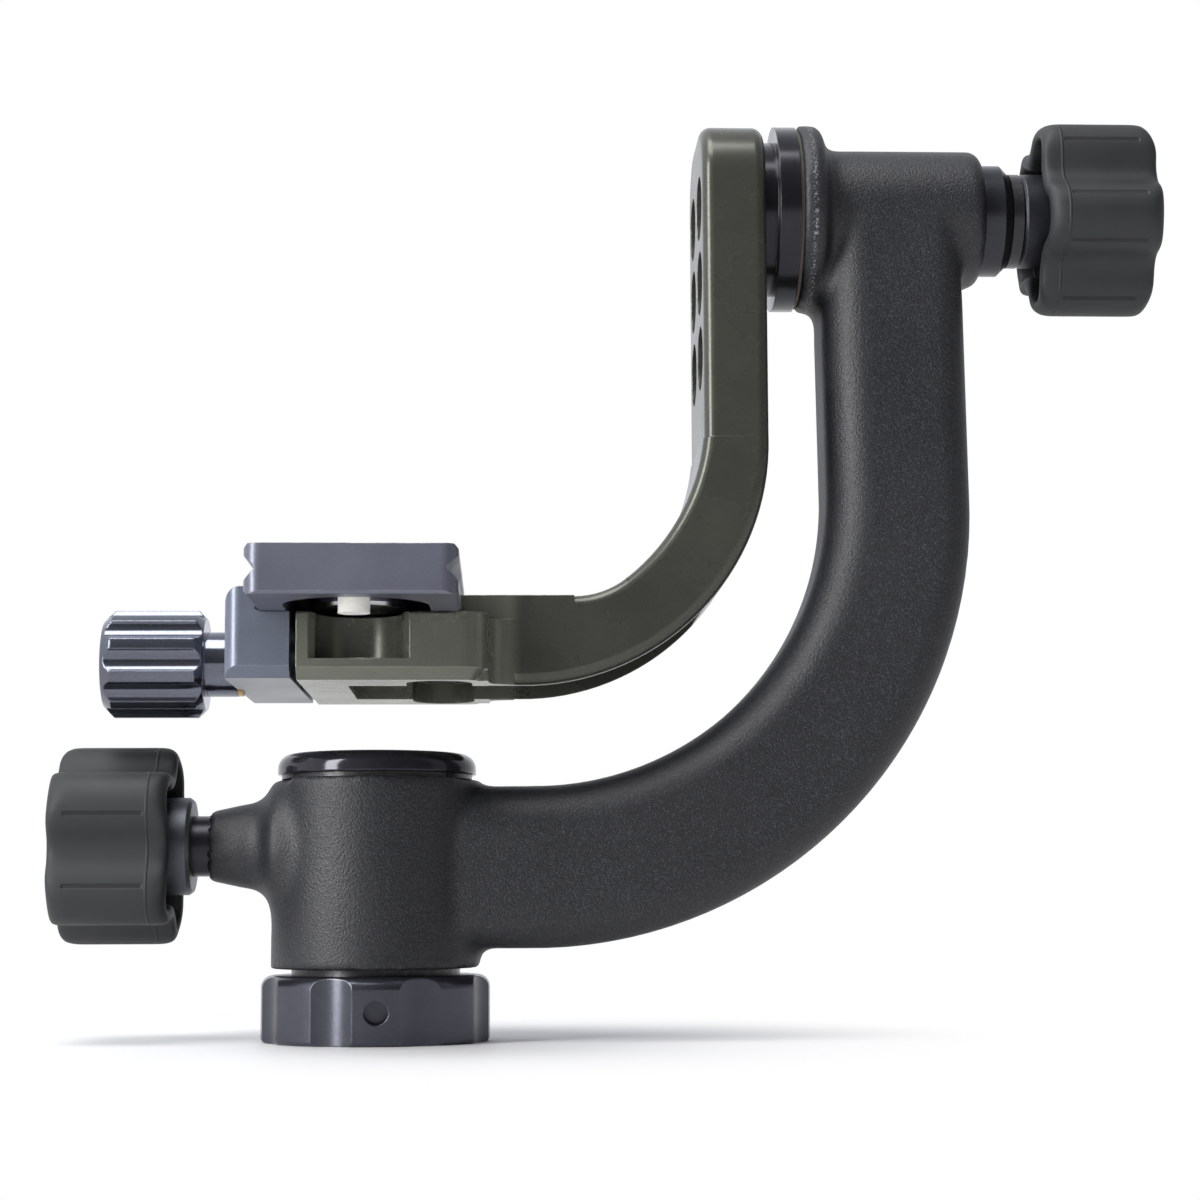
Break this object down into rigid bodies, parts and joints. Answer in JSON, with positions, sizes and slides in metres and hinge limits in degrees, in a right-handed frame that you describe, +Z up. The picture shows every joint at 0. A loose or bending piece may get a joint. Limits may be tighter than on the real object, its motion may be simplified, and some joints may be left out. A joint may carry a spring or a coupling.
{
  "type": "gimbal tripod head",
  "caption": "Gimbal tripod head with an L-shaped arm on a pan base, a swinging arm, a dovetail clamp with a quick-release plate and two lock knobs.",
  "frame": {"origin": "centre of the foot, at the mouth of the tripod thread", "axes": "+Z up along the pan axis, +X from the pan axis towards the tilt housing, so the tilt axis lies along X"},
  "size_m": [0.2177, 0.0903, 0.1833],
  "materials": {
    "wheel": "satin black anodised",
    "steel": "turned",
    "washer_black": "smooth",
    "cap_black": "gloss black",
    "screw_black": "blackened",
    "arm_cast": "charcoal powder coat with a fine sand texture",
    "bush": "plain bush",
    "collar_black": "satin black",
    "knob_rubber": "matt",
    "hub_metal": "satin",
    "swing_bronze": "satin bronze anodised",
    "jaw_blue": "satin blue-grey anodised",
    "knob_blue": "gloss blue-black anodised",
    "plate_grey": "satin grey anodised",
    "pad_rubber": "matt"
  },
  "bodies": {
    "base": {"base_wheel": "wheel", "pan_spindle": "steel", "pan_thrust_washer": "washer_black", "upper_pan_washer": "washer_black", "spindle_cap": "cap_black", "cap_screw": "screw_black"},
    "arm": {"main_arm": "arm_cast", "pan_bush_lower": "bush", "pan_bush_upper": "bush", "tilt_bush_inner": "bush", "tilt_bush_outer": "bush", "tilt_collar": "collar_black", "tilt_thrust_washer": "collar_black"},
    "pan_brake": {"pan_brake_shoe": "bush"},
    "pan_lock": {"pan_lock_stud": "screw_black", "pan_lock_hub": "hub_metal", "pan_lock_grip": "knob_rubber"},
    "swing": {"swing_arm": "swing_bronze", "tilt_shaft": "collar_black", "arm_screws": "screw_black", "jaw_guide_pins": "steel"},
    "tilt_washer": {"tilt_lock_washer": "washer_black"},
    "tilt_lock": {"tilt_lock_hub": "hub_metal", "tilt_lock_grip": "knob_rubber"},
    "jaw": {"clamp_jaw": "jaw_blue", "clamp_washer": "bush"},
    "jaw_drive": {"clamp_screw": "steel", "clamp_knob": "knob_blue", "jaw_circlip": "screw_black"},
    "plate": {"quick_release_plate": "plate_grey", "plate_grip_pads": "pad_rubber", "plate_stop_screw": "steel"},
    "camera_bolt": {"camera_screw": "steel"}
  },
  "joints": [
    {"name": "pan", "type": "hinge", "parent": "base", "child": "arm", "pos_m": [0, 0, 0.033], "axis": [0, 0, 1], "continuous": true},
    {"name": "pan_brake_slide", "type": "slide", "parent": "arm", "child": "pan_brake", "axis": [-1, 0, 0], "range_m": [0, 0.00131]},
    {"name": "pan_lock_turn", "type": "hinge", "parent": "pan_brake", "child": "pan_lock", "pos_m": [-0.045, 0, 0.03785], "axis": [-1, 0, 0], "range_deg": [0, 270]},
    {"name": "tilt", "type": "hinge", "parent": "arm", "child": "swing", "pos_m": [0.1, 0, 0.1644], "axis": [1, 0, 0], "continuous": true},
    {"name": "tilt_washer_slide", "type": "slide", "parent": "swing", "child": "tilt_washer", "axis": [1, 0, 0], "range_m": [0, 0.00112]},
    {"name": "tilt_lock_turn", "type": "hinge", "parent": "tilt_washer", "child": "tilt_lock", "pos_m": [0.14, 0, 0.1644], "axis": [1, 0, 0], "range_deg": [0, 270]},
    {"name": "jaw_slide", "type": "slide", "parent": "swing", "child": "jaw", "axis": [-1, 0, 0], "range_m": [0, 0.005]},
    {"name": "clamp_turn", "type": "hinge", "parent": "jaw", "child": "jaw_drive", "pos_m": [-0.04, 0, 0.0736], "axis": [-1, 0, 0], "range_deg": [0, 1801]},
    {"name": "plate_slide", "type": "slide", "parent": "swing", "child": "plate", "axis": [0, 1, 0], "range_m": [-0.008, 0.0225]},
    {"name": "camera_screw_turn", "type": "hinge", "parent": "plate", "child": "camera_bolt", "pos_m": [-0.0021, -0.0235, 0.085], "axis": [0, 0, 1], "continuous": true}
  ],
  "couplings": [
    {"joint": "pan_lock_turn", "follows": "pan_brake_slide", "rad_per_m": 3590.4},
    {"joint": "tilt_lock_turn", "follows": "tilt_washer_slide", "rad_per_m": 4188.8},
    {"joint": "clamp_turn", "follows": "jaw_slide", "rad_per_m": 6283.2}
  ]
}
